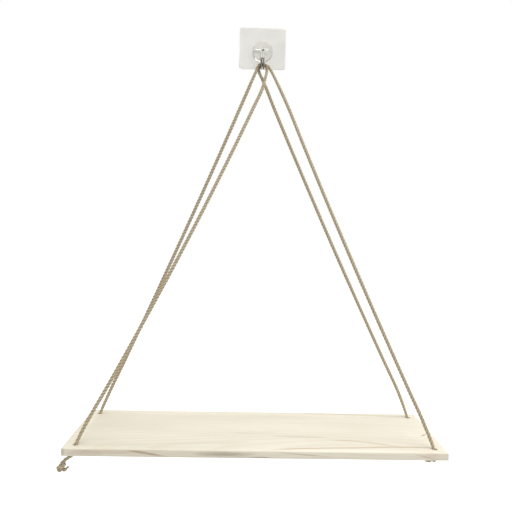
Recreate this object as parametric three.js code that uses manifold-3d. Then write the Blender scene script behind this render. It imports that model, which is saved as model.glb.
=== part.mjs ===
// Hanging rope shelf: a pine plank slung from one clear adhesive wall hook on two jute ropes.
// Millimetres, +Z up. The wall is the plane y = 0, the shelf stands out towards -Y, and the origin is the
// centre of the face that sticks to the wall. The plank hangs square below the hook.
import * as THREE from "three";
import { mergeVertices } from "three/addons/utils/BufferGeometryUtils.js";
import Module from "manifold-3d";

const wasm = await Module();
wasm.setup();

// Clearances
const runningGap = 0.3; // between pieces that touch or turn in each other
const slotClearance = 1; // on each side of the wires in the slot they swing through
const cutOverrun = 1; // how far a cutting solid runs past the face it opens

// Wall plate: a clear plate stuck on with a clear film
const plateWidth = 58;
const plateHeight = 51.5;
const plateThickness = 1.6;
const plateCornerRadius = 3;
const plateEdgeRound = 0.4;
const filmThickness = 0.5;
const filmInset = 0.6; // the film stays this far inside the plate's outline

// Boss: the round moulding in the middle of the plate that carries the wire hook
const bossRadius = 12.5;
const bossDepth = 4.7;
const bossDrop = 4.6; // its centre below the plate's centre
const bossRimRound = 1.2;

// Wire hook: one steel wire, folded double, its two ends bent outwards as pivot arms
const wireDiameter = 1.8;
const wirePitch = 3; // between the centres of the two parallel wires
const armReach = 9; // from the middle of the hook to the end of an arm
const armDrop = 3.4; // the arms' axis below the plate's centre
const armBendRadius = 2.2;
const hookCentreDrop = 21.5; // the centre of the hook's round bottom below the plate's centre
const hookRadius = 6; // of the wire's centre line round the bottom
const tipRise = 6; // from the centre of the round bottom to the top of the folded tip

// Pivot cover: the moulded bridge that keeps the arms in their groove
const coverWidth = 22;
const coverHeight = 7;
const coverThickness = 1.4;
const coverCornerRadius = 2;
const coverEdgeRound = 0.4;

// Plank
const plankLength = 420;
const plankDepth = 123;
const plankThickness = 8;
const plankDrop = 466; // its top face below the plate's centre
const plankWallGap = 0.5;
const plankCornerRadius = 1.5;
const plankEdgeRound = 0.6;
const holeDiameter = 6;
const holeInset = 12; // from the plank's edges to the middle of each rope hole

// Rope
const ropeDiameter = 3.6;
const ropeSides = 8;
const stepsPerPoint = 2; // tube steps between two points of a route
const knotPitch = 4.14; // between the middles of two strands that touch in a knot

// Facets
const roundSegments = 48;
const holeSegments = 16;
const cornerSegments = 6;
const edgeSegments = 2;
const rimSegments = 4; // round the boss's rim
const wireSides = 10;
const bendSteps = 6; // steps in a quarter turn of wire
const gapSamples = 4; // between two points of a rope, where its gap to itself is measured
const gapReachShare = 2; // rope diameters along the rope below which two places count as one

// Places that follow from the sizes
const plateBack = -filmThickness;
const plateFront = plateBack - plateThickness;
const bossFront = plateFront - bossDepth;
const wireRadius = wireDiameter / 2;
const slotHalfWidth = wirePitch / 2 + wireRadius + slotClearance;
const armAxisY = bossFront + runningGap + wireRadius;
const hookCentreY = armAxisY - hookRadius;

// Front rope end, the route of its leg and its turn over the hook, as points of the rope's middle line.
// The points run from the front left hole, over the hook and down to the back left hole.
const leftRopeRoute = [
  [-208, -115.4, -481.8],
  [-199.3, -112.2, -475.8],
  [-198.1, -111.5, -470.4],
  [-197, -110.9, -465],
  [-188.8, -107, -446],
  [-168.9, -98.3, -408.6],
  [-144.6, -88, -362],
  [-115.7, -75.2, -305],
  [-85.3, -61.3, -243],
  [-59.8, -49, -189],
  [-31.7, -35.4, -127.5],
  [-11.2, -25, -81],
  [0.2, -19, -54.5],
  [3.9, -16, -40],
  [5.4, -14.3, -33.2],
  [5.6, -13.7, -29.2],
  [4.6, -13.7, -25.7],
  [2.4, -13.7, -23.5],
  [-0.5, -13.7, -22.8],
  [-3.4, -13.7, -23.7],
  [-5.4, -13.7, -26.2],
  [-7.2, -13.7, -30.5],
  [-11.4, -13.7, -40.4],
  [-22.9, -13.6, -68],
  [-46.3, -13.5, -124],
  [-75.4, -13.3, -192],
  [-98.5, -13.2, -245],
  [-129, -13, -314],
  [-149.8, -12.9, -360],
  [-167.5, -12.8, -399],
  [-185.5, -12.7, -438],
  [-196.9, -12.6, -465.4],
  [-198, -12.5, -470],
  [-198, -12.5, -474.5],
];

// The same for the other rope, from the front right hole to the back right hole.
const rightRopeRoute = [
  [197.4, -110.6, -474.8],
  [198, -111.4, -470],
  [196.9, -110.8, -465],
  [186.5, -104.6, -438],
  [172, -97.2, -406],
  [157.7, -89.8, -374],
  [143.2, -82.1, -341],
  [125.8, -72.9, -301],
  [102.3, -60.2, -246],
  [78.8, -47.2, -190],
  [52.5, -32.3, -125.5],
  [32.7, -20.7, -76],
  [16.6, -12.4, -40.4],
  [11.8, -10, -30.8],
  [9.2, -9.6, -26.6],
  [6.6, -9.6, -24.1],
  [3.5, -9.6, -22.9],
  [0.2, -9.6, -22.9],
  [-2.9, -9.6, -24.1],
  [-5, -9.6, -26.8],
  [-5.2, -9.6, -31.2],
  [-1, -9.7, -40.3],
  [6.5, -9.9, -54.5],
  [15, -10, -73.6],
  [36.7, -10.3, -122],
  [67.4, -10.7, -189],
  [95.3, -11.1, -249],
  [123.9, -11.5, -309],
  [146.1, -11.8, -355],
  [165.2, -12.1, -394],
  [184.5, -12.3, -433],
  [196.9, -12.5, -465],
  [198, -12.5, -470],
  [198, -12.5, -474.5],
];

// One half of an overhand knot, from its middle to where the rope leaves it, as shares of the knot pitch.
// The first axis runs across the knot, the second is its axis of symmetry, the third is the rope's own line.
const knotHalfShares = [
  [0, 0.9, 0],
  [-0.7, 0.8, -0.5],
  [-1.15, 0.15, -0.95],
  [-0.9, -0.7, -1.1],
  [-0.1, -1.15, -0.9],
  [0.5, -0.95, -0.25],
  [0.45, -0.4, 0.25],
  [0.05, 0, 0.85],
];

// Each knot: its middle, the way back up the rope, the way its symmetry axis points, and its short tail.
const frontLeftKnot = {
  middle: [-212, -116.3, -488.6],
  ropeWay: [0.3, 0, 1],
  sideWay: [1, 0, 0],
  tail: [
    [-213, -117.3, -494.8],
    [-210.5, -118.8, -496.4],
    [-206.6, -119.2, -494.4],
    [-203.6, -119.4, -491],
  ],
};
const frontRightKnot = {
  middle: [196, -109.2, -481],
  ropeWay: [0.25, -0.25, 1],
  sideWay: [0.4, 0.9, 0],
  tail: [[194.5, -107.2, -487.6]],
};
const backLeftKnot = {
  middle: [-198, -12.5, -480.7],
  ropeWay: [0, 0, 1],
  sideWay: [0, -1, 0],
  tail: [[-198, -13.1, -487.6]],
};
const backRightKnot = {
  middle: [198, -12.5, -480.7],
  ropeWay: [0, 0, 1],
  sideWay: [0.6, -0.8, 0],
  tail: [[198.2, -13.1, -487.6]],
};

// Materials
const finish = (color, roughness, metalness, extra = {}) =>
  new THREE.MeshStandardMaterial({ color, roughness, metalness, ...extra });
const clearPlastic = { transparent: true, opacity: 0.55 };

// Turns a three.js geometry into a solid that can be cut and joined.
function solidFrom(geometry) {
  const bare = geometry.index ? geometry.toNonIndexed() : geometry.clone();
  bare.deleteAttribute("normal");
  bare.deleteAttribute("uv");
  const merged = mergeVertices(bare);
  const vertProperties = merged.attributes.position.array;
  const triVerts = new Uint32Array(merged.index.array);
  return new wasm.Manifold(new wasm.Mesh({ numProp: 3, vertProperties, triVerts }));
}

// Turns a solid back into a geometry.
function geometryFrom(solid) {
  const { vertProperties, triVerts } = solid.getMesh();
  const geometry = new THREE.BufferGeometry();
  geometry.setAttribute("position", new THREE.BufferAttribute(vertProperties, 3));
  geometry.setIndex(new THREE.BufferAttribute(triVerts, 1));
  geometry.computeVertexNormals();
  return geometry;
}

// A box between two corners.
function boxBetween(low, high) {
  const size = low.map((value, axis) => high[axis] - value);
  const middle = low.map((value, axis) => (value + high[axis]) / 2);
  return solidFrom(new THREE.BoxGeometry(...size).translate(...middle));
}

// A rectangle with round corners, centred on a point.
function roundedRectangle(width, height, radius, centreX, centreY) {
  const right = width / 2;
  const top = height / 2;
  const shape = new THREE.Shape();
  shape.absarc(centreX + right - radius, centreY + top - radius, radius, 0, Math.PI / 2);
  shape.absarc(centreX - right + radius, centreY + top - radius, radius, Math.PI / 2, Math.PI);
  shape.absarc(centreX - right + radius, centreY - top + radius, radius, Math.PI, 1.5 * Math.PI);
  shape.absarc(centreX + right - radius, centreY - top + radius, radius, 1.5 * Math.PI, 2 * Math.PI);
  shape.closePath();
  return shape;
}

// A slab of a given thickness from a shape that already has its finished outline, with eased edges.
function easedSlab(makeShape, thickness, edgeRound, segments) {
  return new THREE.ExtrudeGeometry(makeShape(edgeRound), {
    depth: thickness - 2 * edgeRound,
    bevelEnabled: true,
    bevelThickness: edgeRound,
    bevelSize: edgeRound,
    bevelSegments: edgeSegments,
    curveSegments: segments,
  }).translate(0, 0, edgeRound);
}

// Stands a slab that was drawn in X and Y up against the wall: its drawing faces out, its back is at y.
function standAgainstWall(geometry, y) {
  return geometry.rotateX(Math.PI / 2).translate(0, y, 0);
}

// A curve whose tube steps fall on its own points, so close points give close steps.
class RouteCurve extends THREE.CatmullRomCurve3 {
  getUtoTmapping(u) {
    return u;
  }
}

// A closed tube of many sides along points.
function tubeAlong(points, radius, sides, steps) {
  const section = new THREE.Shape();
  for (let side = 0; side < sides; side += 1) {
    const turn = (2 * Math.PI * (side + 0.5)) / sides;
    const corner = [radius * Math.cos(turn), radius * Math.sin(turn)];
    if (side === 0) section.moveTo(...corner);
    else section.lineTo(...corner);
  }
  section.closePath();
  const path = new RouteCurve(points, false, "centripetal");
  return new THREE.ExtrudeGeometry(section, {
    steps: steps * (points.length - 1),
    bevelEnabled: false,
    extrudePath: path,
  });
}

// Adhesive film: the clear sticky layer between the wall and the plate.
function adhesiveFilm() {
  const outline = roundedRectangle(
    plateWidth - 2 * filmInset,
    plateHeight - 2 * filmInset,
    plateCornerRadius - filmInset,
    0,
    0,
  );
  const slab = new THREE.ExtrudeGeometry(outline, {
    depth: filmThickness,
    bevelEnabled: false,
    curveSegments: cornerSegments,
  });
  return standAgainstWall(slab, 0);
}

// Wall plate: the clear square plate.
function wallPlate() {
  const outline = (inset) =>
    roundedRectangle(
      plateWidth - 2 * inset,
      plateHeight - 2 * inset,
      plateCornerRadius - inset,
      0,
      0,
    );
  return standAgainstWall(
    easedSlab(outline, plateThickness, plateEdgeRound, cornerSegments),
    plateBack,
  );
}

// Hook boss: a round moulding with a groove across it for the arms and a slot down it for the stem.
function hookBoss() {
  const profile = [new THREE.Vector2(0, 0), new THREE.Vector2(bossRadius, 0)];
  for (let step = 0; step <= rimSegments; step += 1) {
    const turn = ((Math.PI / 2) * step) / rimSegments;
    profile.push(
      new THREE.Vector2(
        bossRadius - bossRimRound + bossRimRound * Math.cos(turn),
        bossDepth - bossRimRound + bossRimRound * Math.sin(turn),
      ),
    );
  }
  profile.push(new THREE.Vector2(0, bossDepth));
  const disc = new THREE.LatheGeometry(profile, roundSegments)
    .rotateX(Math.PI)
    .translate(0, plateFront, -bossDrop);
  const floorY = armAxisY + wireRadius + runningGap;
  const groove = boxBetween(
    [-armReach - runningGap, bossFront - cutOverrun, -armDrop - wireRadius - runningGap],
    [armReach + runningGap, floorY, -armDrop + wireRadius + runningGap],
  );
  const slot = boxBetween(
    [-slotHalfWidth, bossFront - cutOverrun, -bossDrop - bossRadius - cutOverrun],
    [slotHalfWidth, floorY, -armDrop + wireRadius + runningGap],
  );
  return geometryFrom(solidFrom(disc).subtract(groove).subtract(slot));
}

// Pivot cover: a bridge over the arms, notched from below so that the stem can swing out.
function pivotCover() {
  const outline = (inset) =>
    roundedRectangle(
      coverWidth - 2 * inset,
      coverHeight - 2 * inset,
      coverCornerRadius - inset,
      0,
      -armDrop,
    );
  const bridge = standAgainstWall(
    easedSlab(outline, coverThickness, coverEdgeRound, cornerSegments),
    bossFront,
  );
  const notch = boxBetween(
    [-slotHalfWidth, bossFront - coverThickness - cutOverrun, -armDrop - coverHeight],
    [slotHalfWidth, bossFront + cutOverrun, -armDrop + wireRadius + runningGap],
  );
  return geometryFrom(solidFrom(bridge).subtract(notch));
}

// Points on an arc that starts at one angle and ends at another, in a plane given by two axes.
function arcPoints(centre, across, up, radius, from, to, steps) {
  const points = [];
  for (let step = 0; step <= steps; step += 1) {
    const turn = from + ((to - from) * step) / steps;
    points.push(
      centre
        .clone()
        .addScaledVector(across, radius * Math.cos(turn))
        .addScaledVector(up, radius * Math.sin(turn)),
    );
  }
  return points;
}

// Wire hook: arm, stem, round bottom and half of the folded tip, then the same mirrored.
function wireHook() {
  const alongX = new THREE.Vector3(1, 0, 0);
  const alongY = new THREE.Vector3(0, 1, 0);
  const alongZ = new THREE.Vector3(0, 0, 1);
  const wireX = wirePitch / 2;
  const half = [
    new THREE.Vector3(armReach, armAxisY, -armDrop),
    new THREE.Vector3((armReach + wireX + armBendRadius) / 2, armAxisY, -armDrop),
    ...arcPoints(
      new THREE.Vector3(wireX + armBendRadius, armAxisY, -armDrop - armBendRadius),
      alongX,
      alongZ,
      armBendRadius,
      Math.PI / 2,
      Math.PI,
      bendSteps,
    ),
    ...arcPoints(
      new THREE.Vector3(wireX, hookCentreY, -hookCentreDrop),
      alongY,
      alongZ,
      hookRadius,
      0,
      -Math.PI,
      2 * bendSteps,
    ),
    ...arcPoints(
      new THREE.Vector3(0, hookCentreY - hookRadius, tipRise - wireX - wireRadius - hookCentreDrop),
      alongX,
      alongZ,
      wireX,
      0,
      Math.PI / 2,
      bendSteps,
    ),
  ];
  const mirrored = half
    .slice(0, -1)
    .reverse()
    .map((point) => new THREE.Vector3(-point.x, point.y, point.z));
  return tubeAlong([...half, ...mirrored], wireRadius, wireSides, 1);
}

// Plank: one board with round-cornered ends, eased edges and four eased rope holes.
function plank() {
  const middleY = -plankWallGap - plankDepth / 2;
  const holeX = plankLength / 2 - holeInset;
  const holeY = plankDepth / 2 - holeInset;
  const outline = (inset) => {
    const board = roundedRectangle(
      plankLength - 2 * inset,
      plankDepth - 2 * inset,
      plankCornerRadius - inset,
      0,
      middleY,
    );
    for (const sideX of [-1, 1]) {
      for (const sideY of [-1, 1]) {
        const hole = new THREE.Path();
        hole.absarc(
          sideX * holeX,
          middleY + sideY * holeY,
          holeDiameter / 2 + inset,
          0,
          2 * Math.PI,
          true,
        );
        board.holes.push(hole);
      }
    }
    return board;
  };
  return easedSlab(outline, plankThickness, plankEdgeRound, holeSegments).translate(
    0,
    0,
    -plankDrop - plankThickness,
  );
}

// Points of a knot, from where the rope enters it to where its tail leaves.
function knotPoints({ middle, ropeWay, sideWay }) {
  const along = new THREE.Vector3(...ropeWay).normalize();
  const side = new THREE.Vector3(...sideWay);
  side.addScaledVector(along, -side.dot(along)).normalize();
  const across = new THREE.Vector3().crossVectors(side, along);
  const place = ([a, b, c]) =>
    new THREE.Vector3(...middle)
      .addScaledVector(across, a * knotPitch)
      .addScaledVector(side, b * knotPitch)
      .addScaledVector(along, c * knotPitch);
  const entering = knotHalfShares.slice(1).reverse();
  const leaving = knotHalfShares.map(([a, b, c]) => [-a, b, -c]);
  return [...entering, ...leaving].map(place);
}

// The whole middle line of a rope: knot, route and knot.
function ropeLine(startKnot, route, endKnot) {
  const asVectors = (points) => points.map((point) => new THREE.Vector3(...point));
  const start = [...knotPoints(startKnot), ...asVectors(startKnot.tail)].reverse();
  const end = [...knotPoints(endKnot), ...asVectors(endKnot.tail)];
  return [...start, ...asVectors(route), ...end];
}

// The least gap between two stretches of one rope that are well apart along it.
function leastSelfGap(points) {
  const apart = gapReachShare * ropeDiameter;
  const curve = new RouteCurve(points, false, "centripetal");
  const samples = curve.getPoints(gapSamples * (points.length - 1));
  const along = [0];
  for (let i = 1; i < samples.length; i += 1) {
    along.push(along[i - 1] + samples[i].distanceTo(samples[i - 1]));
  }
  let least = Infinity;
  for (let i = 0; i < samples.length; i += 1) {
    for (let j = i + 1; j < samples.length; j += 1) {
      if (along[j] - along[i] > apart) {
        least = Math.min(least, samples[i].distanceTo(samples[j]));
      }
    }
  }
  return { gap: least - ropeDiameter, length: along[along.length - 1] };
}

// One rope, with its lengths and its least gap to itself printed.
function rope(name, startKnot, route, endKnot) {
  const points = ropeLine(startKnot, route, endKnot);
  const { gap, length } = leastSelfGap(points);
  console.log(`${name}: ${length.toFixed(0)} mm long, least gap to itself ${gap.toFixed(2)} mm`);
  return tubeAlong(points, ropeDiameter / 2, ropeSides, stepsPerPoint);
}

const shelf = new THREE.Group();
const addPiece = (name, geometry, material) => {
  const mesh = new THREE.Mesh(geometry, material);
  mesh.name = name;
  shelf.add(mesh);
};

addPiece("adhesive_film", adhesiveFilm(), finish(0xf1efe8, 0.4, 0, clearPlastic));
addPiece("wall_plate", wallPlate(), finish(0xe5e3dc, 0.15, 0, clearPlastic));
addPiece("hook_boss", hookBoss(), finish(0xe0ded6, 0.12, 0, clearPlastic));
addPiece("pivot_cover", pivotCover(), finish(0xe9e6e0, 0.12, 0, clearPlastic));
addPiece("wire_hook", wireHook(), finish(0x8f8d86, 0.25, 1));
addPiece("plank", plank(), finish(0xecdfc4, 0.65, 0));
addPiece(
  "left_rope",
  rope("left rope", frontLeftKnot, leftRopeRoute, backLeftKnot),
  finish(0xa79a80, 0.9, 0),
);
addPiece(
  "right_rope",
  rope("right rope", frontRightKnot, rightRopeRoute, backRightKnot),
  finish(0xa79a80, 0.9, 0),
);

export default shelf;
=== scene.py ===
"""Dresses the hanging rope shelf: a pine plank slung from one clear adhesive wall hook on two jute ropes.

Metres, +Z up. The wall is the plane y = 0, and the origin is the centre of the face that sticks to it.
"""

import logging
import math
import random
from dataclasses import dataclass, field
from enum import Enum

import bmesh
import bpy
from mathutils import Matrix, Vector


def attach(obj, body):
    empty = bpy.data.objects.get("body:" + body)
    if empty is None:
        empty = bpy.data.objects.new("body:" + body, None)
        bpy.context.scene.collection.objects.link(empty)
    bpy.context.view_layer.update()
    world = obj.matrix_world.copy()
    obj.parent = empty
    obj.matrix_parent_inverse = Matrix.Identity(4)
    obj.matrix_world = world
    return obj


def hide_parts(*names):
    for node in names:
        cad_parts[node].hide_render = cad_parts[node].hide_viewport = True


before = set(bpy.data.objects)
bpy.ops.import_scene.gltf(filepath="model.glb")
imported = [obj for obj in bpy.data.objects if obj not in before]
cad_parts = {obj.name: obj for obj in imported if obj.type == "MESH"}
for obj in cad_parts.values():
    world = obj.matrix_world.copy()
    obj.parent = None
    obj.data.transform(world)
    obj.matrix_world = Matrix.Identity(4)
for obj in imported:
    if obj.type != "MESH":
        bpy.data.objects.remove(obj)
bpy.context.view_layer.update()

log = logging.getLogger("rope_shelf")

Point = tuple[float, float, float]
Span = tuple[float, float]
Colour = tuple[float, float, float, float]
Form = bmesh.types.BMesh
Material = bpy.types.Material
Piece = bpy.types.Object
Socket = bpy.types.NodeSocket

WHITE: Colour = (1.0, 1.0, 1.0, 1.0)

# Points that stand nearer to each other than this are one point.
MERGE_REACH = 1e-7

# How much of a direction lies on an axis: at least the first where it runs along, under the second across.
ALONG_SHARE = 0.9
ACROSS_SHARE = 0.5

# The steps of a slab's round corners, of its eased edges and of the edges that a cut leaves, and from which
# angle such an edge is eased.
CORNER_STEPS = 8
EDGE_STEPS = 3
CUT_EDGE_STEPS = 2
CUT_EDGE_DEGREES = 50.0

# Where the plank hangs. Its board, its grain lines, its marks and its painted edge shade share these.
PLANK_DROP = 0.466
PLANK_DEPTH = 0.123
PLANK_WALL_GAP = 0.0005
PLANK_TOP = -PLANK_DROP
PLANK_FRONT = -PLANK_WALL_GAP - PLANK_DEPTH


class Body(Enum):
    """The bodies that the pieces ride on."""

    WALL_MOUNT = "wall_mount"
    HOOK = "hook"
    SHELF = "hanging_shelf"


class Slot(Enum):
    """The record's material slots."""

    FILM = "clear_film"
    PLASTIC = "clear_plastic"
    WIRE = "steel_wire"
    PINE = "pine"
    JUTE = "jute"


class Axis(Enum):
    """The axis that a slab's thickness runs along, as its place in a point."""

    ACROSS_WALL = 1
    UP = 2


def tone(red: int, green: int, blue: int) -> Colour:
    """Turns a screen colour into the linear colour that a shader takes, by the sRGB curve.

    Args:
        red: Red, 0 to 255.
        green: Green, 0 to 255.
        blue: Blue, 0 to 255.

    Returns:
        The linear colour, with alpha 1.
    """
    shares = [value / 255 for value in (red, green, blue)]
    linear = [s / 12.92 if s <= 0.04045 else ((s + 0.055) / 1.055) ** 2.4 for s in shares]
    return (linear[0], linear[1], linear[2], 1.0)


@dataclass(frozen=True)
class Pattern:
    """A noise pattern: its cells in a unit along each axis, its octaves and the share of the finer ones."""

    scale: Point
    detail: float
    roughness: float = 0.5


@dataclass(frozen=True)
class Relief:
    """How high a pattern stands on a surface, in metres, and how much of that the shading shows."""

    height: float
    strength: float


class Nodes:
    """A node tree under construction."""

    def __init__(self, tree: bpy.types.NodeTree) -> None:
        """Empties the tree.

        Args:
            tree: The node tree of a material or a world.
        """
        self.tree = tree
        self.tree.nodes.clear()

    def add(
        self, kind: str, feeds: dict[str | int, object] | None = None, **settings: object
    ) -> bpy.types.Node:
        """Adds a node.

        Args:
            kind: The node's type name.
            feeds: Its inputs, by name or number, and the values or sockets that feed them.
            **settings: Its properties.

        Returns:
            The node.
        """
        node = self.tree.nodes.new(kind)
        for key, value in settings.items():
            setattr(node, key, value)
        for key, value in (feeds or {}).items():
            self.put(node.inputs[key], value)
        return node

    def put(self, target: Socket, value: object) -> None:
        """Feeds an input.

        Args:
            target: The input.
            value: A socket to link to it, or a plain value to set it to.
        """
        if isinstance(value, Socket):
            self.tree.links.new(value, target)
        else:
            target.default_value = value

    def compute(self, operation: str, first: object, second: object = 0.0) -> Socket:
        """Adds a sum of two values or sockets, and returns its result."""
        return self.add("ShaderNodeMath", {0: first, 1: second}, operation=operation).outputs[0]

    def plus(self, first: object, second: object) -> Socket:
        """Adds two values or sockets."""
        return self.compute("ADD", first, second)

    def minus(self, first: object, second: object) -> Socket:
        """Takes the second value or socket from the first."""
        return self.compute("SUBTRACT", first, second)

    def times(self, first: object, second: object) -> Socket:
        """Multiplies two values or sockets."""
        return self.compute("MULTIPLY", first, second)

    def looked_at(self) -> Socket:
        """Tells the rays that look at a surface from the rays that only gather light from it.

        Returns:
            1 for a ray from the camera, a reflection or a clear piece, and 0 for any other.
        """
        rays = self.add("ShaderNodeLightPath").outputs
        by_object = self.compute("MAXIMUM", rays["Is Glossy Ray"], rays["Is Transmission Ray"])
        return self.compute("MAXIMUM", rays["Is Camera Ray"], by_object)


class Finish(Nodes):
    """A node material under construction, with one Principled shader and its Object coordinates."""

    def __init__(self, name: str) -> None:
        """Starts the material.

        Args:
            name: The material's name.
        """
        self.material = bpy.data.materials.new(name)
        self.material.use_nodes = True
        super().__init__(self.material.node_tree)
        self.shader = self.add("ShaderNodeBsdfPrincipled")
        self.add("ShaderNodeOutputMaterial", {"Surface": self.shader.outputs["BSDF"]})
        self.place = self.add("ShaderNodeTexCoord").outputs["Object"]

    def set(self, **sockets: object) -> None:
        """Sets the shader's inputs.

        Args:
            **sockets: Input names with underscores for spaces, and their values or sources.
        """
        for name, value in sockets.items():
            self.put(self.shader.inputs[name.replace("_", " ")], value)

    def axes(self) -> list[Socket]:
        """Returns the X, Y and Z of the Object coordinates."""
        return list(self.add("ShaderNodeSeparateXYZ", {0: self.place}).outputs)

    def noise(self, source: Socket, pattern: Pattern) -> Socket:
        """Adds a noise pattern.

        Args:
            source: The coordinates.
            pattern: Its scale and detail.

        Returns:
            A value of about 0 to 1.
        """
        scaled = self.add("ShaderNodeMapping", {"Vector": source, "Scale": pattern.scale}).outputs[0]
        feeds = {"Vector": scaled, "Scale": 1.0, "Detail": pattern.detail, "Roughness": pattern.roughness}
        return self.add("ShaderNodeTexNoise", feeds).outputs["Fac"]

    def spread(self, value: Socket, span: Span) -> Socket:
        """Stretches a value between two limits and holds it there.

        Args:
            value: The value.
            span: What becomes 0, and what becomes 1.

        Returns:
            A value of 0 to 1.
        """
        feeds = {"Value": value, "From Min": span[0], "From Max": span[1]}
        return self.add("ShaderNodeMapRange", feeds, clamp=True).outputs["Result"]

    def mix(self, factor: object, first: object, second: object) -> Socket:
        """Mixes two colours.

        Args:
            factor: How much of the second one.
            first: A colour or a socket.
            second: A colour or a socket.

        Returns:
            The colour.
        """
        return self.add("ShaderNodeMix", {0: factor, 6: first, 7: second}, data_type="RGBA").outputs[2]

    def wash(self, under: object, over: object, where: Socket, span: Span, share: float = 1.0) -> Socket:
        """Lays one colour over another as far as a pattern says.

        Args:
            under: The first colour.
            over: The second colour.
            where: The pattern.
            span: The pattern's values that bring none of the second colour, and all that it may bring.
            share: The most that may show of the second colour.

        Returns:
            The colour.
        """
        return self.mix(self.times(self.spread(where, span), share), under, over)

    def bump(self, pattern: Socket, relief: Relief) -> None:
        """Raises the surface's shading by a pattern.

        Args:
            pattern: The pattern, 0 to 1.
            relief: How high it stands.
        """
        feeds = {"Strength": relief.strength, "Distance": relief.height, "Height": pattern}
        self.set(Normal=self.add("ShaderNodeBump", feeds).outputs["Normal"])


@dataclass(frozen=True)
class ColourPatch:
    """A soft-edged patch of colour on the plank. Most are marks in the wood, and some are painted shade along
    its edges.
    """

    centre: Point
    reach: Point
    colour: Colour
    strength: float
    turn: Point


def top_mark(
    x: float, y: float, reach: Point, colour: Colour, strength: float, turn: float = 0.0
) -> ColourPatch:
    """Puts a patch of colour on the plank's top, turned about the upright axis."""
    return ColourPatch((x, y, PLANK_TOP), reach, colour, strength, (0.0, 0.0, turn))


def front_mark(
    x: float, below_top: float, reach: Point, colour: Colour, strength: float, turn: float = 0.0
) -> ColourPatch:
    """Puts a patch of colour on the plank's front, turned about the axis that runs to the wall."""
    return ColourPatch((x, PLANK_FRONT, PLANK_TOP - below_top), reach, colour, strength, (0.0, turn, 0.0))


@dataclass(frozen=True)
class GrainLine:
    """One ring's dark edge, where it runs along the plank's top."""

    width: float
    strength: float
    course: tuple[Span, ...]


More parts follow.
